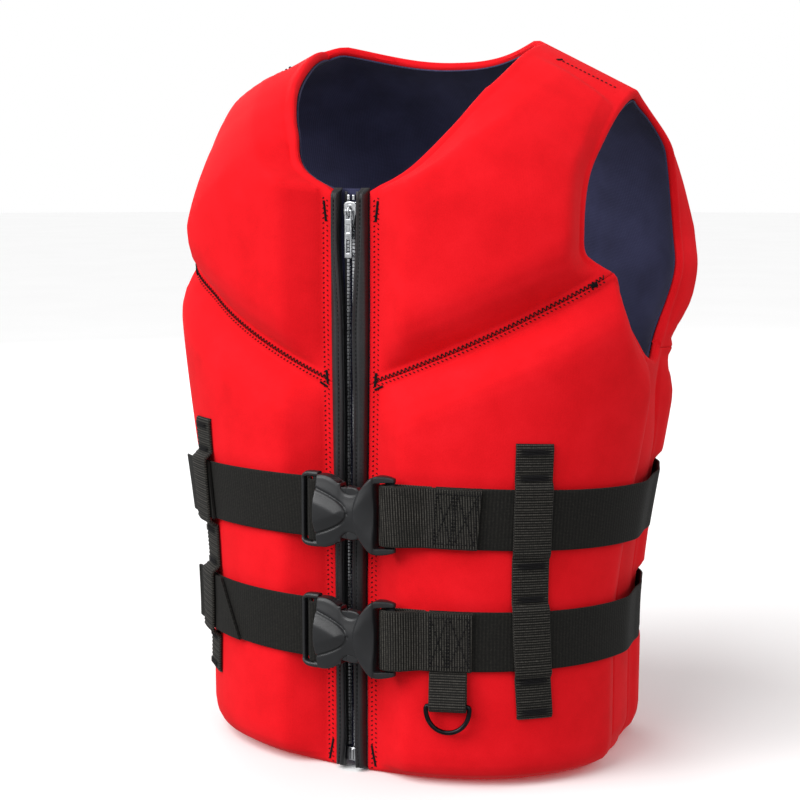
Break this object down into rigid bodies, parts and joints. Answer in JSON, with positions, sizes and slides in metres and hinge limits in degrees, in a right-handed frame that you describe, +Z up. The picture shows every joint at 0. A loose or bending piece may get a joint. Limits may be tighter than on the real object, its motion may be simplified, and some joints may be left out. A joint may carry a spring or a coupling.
{
  "type": "life jacket",
  "caption": "Sleeveless zipped foam buoyancy vest with two buckled webbing belts, webbing keepers and a D-ring.",
  "frame": {"origin": "centre of the vest's bounding box in plan, on the plane of its hem", "axes": "+Z up the wearer's body, +X the wearer's left, -Y the front with the zip"},
  "size_m": [0.3638, 0.2731, 0.4955],
  "materials": {
    "shell": "brushed knit over neoprene, matt",
    "foam": "closed-cell foam",
    "lining": "stretch knit lining",
    "binding": "smooth bound edge, slight sheen",
    "zip_metal": "satin",
    "webbing": "ribbed webbing",
    "buckle": "semi-gloss moulded",
    "ring": "black coated wire"
  },
  "bodies": {
    "root": {"left_front_lower_shell": "shell", "right_front_lower_shell": "shell", "left_front_upper_shell": "shell", "right_front_upper_shell": "shell", "back_lower_shell": "shell", "back_upper_shell": "shell", "left_side_gusset": "shell", "right_side_gusset": "shell", "left_front_lower_foam": "foam", "right_front_lower_foam": "foam", "left_front_upper_foam": "foam", "right_front_upper_foam": "foam", "back_lower_foam": "foam", "back_upper_foam": "foam", "left_front_lining": "lining", "right_front_lining": "lining", "back_lining": "lining", "zip_flap": "lining", "left_zip_binding": "binding", "right_zip_binding": "binding", "left_zip_tape": "binding", "right_zip_tape": "binding", "left_zip_teeth": "zip_metal", "right_zip_teeth": "zip_metal", "left_zip_top_stop": "zip_metal", "right_zip_top_stop": "zip_metal", "zip_bottom_box": "zip_metal", "upper_belt": "webbing", "lower_belt": "webbing", "upper_adjust_strap": "webbing", "lower_adjust_strap": "webbing", "upper_buckle_loop": "webbing", "lower_buckle_loop": "webbing", "upper_strap_tail": "webbing", "lower_strap_tail": "webbing", "left_front_keeper": "webbing", "right_front_keeper": "webbing", "left_back_keeper": "webbing", "right_back_keeper": "webbing", "d_ring_tab": "webbing", "upper_buckle_socket": "buckle", "lower_buckle_socket": "buckle"},
    "zip_slider": {"zip_slider": "zip_metal"},
    "zip_pull": {"zip_pull": "zip_metal"},
    "d_ring": {"d_ring": "ring"},
    "upper_plug": {"upper_buckle_plug": "buckle"},
    "upper_latch_top": {"upper_latch_top": "buckle"},
    "upper_latch_bottom": {"upper_latch_bottom": "buckle"},
    "lower_plug": {"lower_buckle_plug": "buckle"},
    "lower_latch_top": {"lower_latch_top": "buckle"},
    "lower_latch_bottom": {"lower_latch_bottom": "buckle"}
  },
  "joints": [
    {"name": "zip_slide", "type": "slide", "parent": "root", "child": "zip_slider", "axis": [0, 0, -1], "range_m": [0, 0.356]},
    {"name": "pull_hinge", "type": "hinge", "parent": "zip_slider", "child": "zip_pull", "pos_m": [0, -0.10505, 0.3814], "axis": [-1, 0, 0], "range_deg": [0, 160]},
    {"name": "ring_hinge", "type": "hinge", "parent": "root", "child": "d_ring", "pos_m": [0.07901, -0.11369, 0.058], "axis": [-0.9398, -0.3417, 0], "range_deg": [0, 150]},
    {"name": "upper_unbuckle", "type": "slide", "parent": "root", "child": "upper_plug", "axis": [-1, 0, 0], "range_m": [0, 0.034], "deforming": ["upper_adjust_strap"]},
    {"name": "upper_top_squeeze", "type": "hinge", "parent": "upper_plug", "child": "upper_latch_top", "pos_m": [-0.006, -0.12985, 0.1991], "axis": [0, 1, 0], "range_deg": [0, 6], "stiffness_Nm_per_rad": 1},
    {"name": "upper_bottom_squeeze", "type": "hinge", "parent": "upper_plug", "child": "upper_latch_bottom", "pos_m": [-0.006, -0.12985, 0.1699], "axis": [0, -1, 0], "range_deg": [0, 6], "stiffness_Nm_per_rad": 1},
    {"name": "lower_unbuckle", "type": "slide", "parent": "root", "child": "lower_plug", "axis": [-1, 0, 0], "range_m": [0, 0.034], "deforming": ["lower_adjust_strap"]},
    {"name": "lower_top_squeeze", "type": "hinge", "parent": "lower_plug", "child": "lower_latch_top", "pos_m": [-0.006, -0.12985, 0.1161], "axis": [0, 1, 0], "range_deg": [0, 6], "stiffness_Nm_per_rad": 1},
    {"name": "lower_bottom_squeeze", "type": "hinge", "parent": "lower_plug", "child": "lower_latch_bottom", "pos_m": [-0.006, -0.12985, 0.0869], "axis": [0, -1, 0], "range_deg": [0, 6], "stiffness_Nm_per_rad": 1}
  ]
}
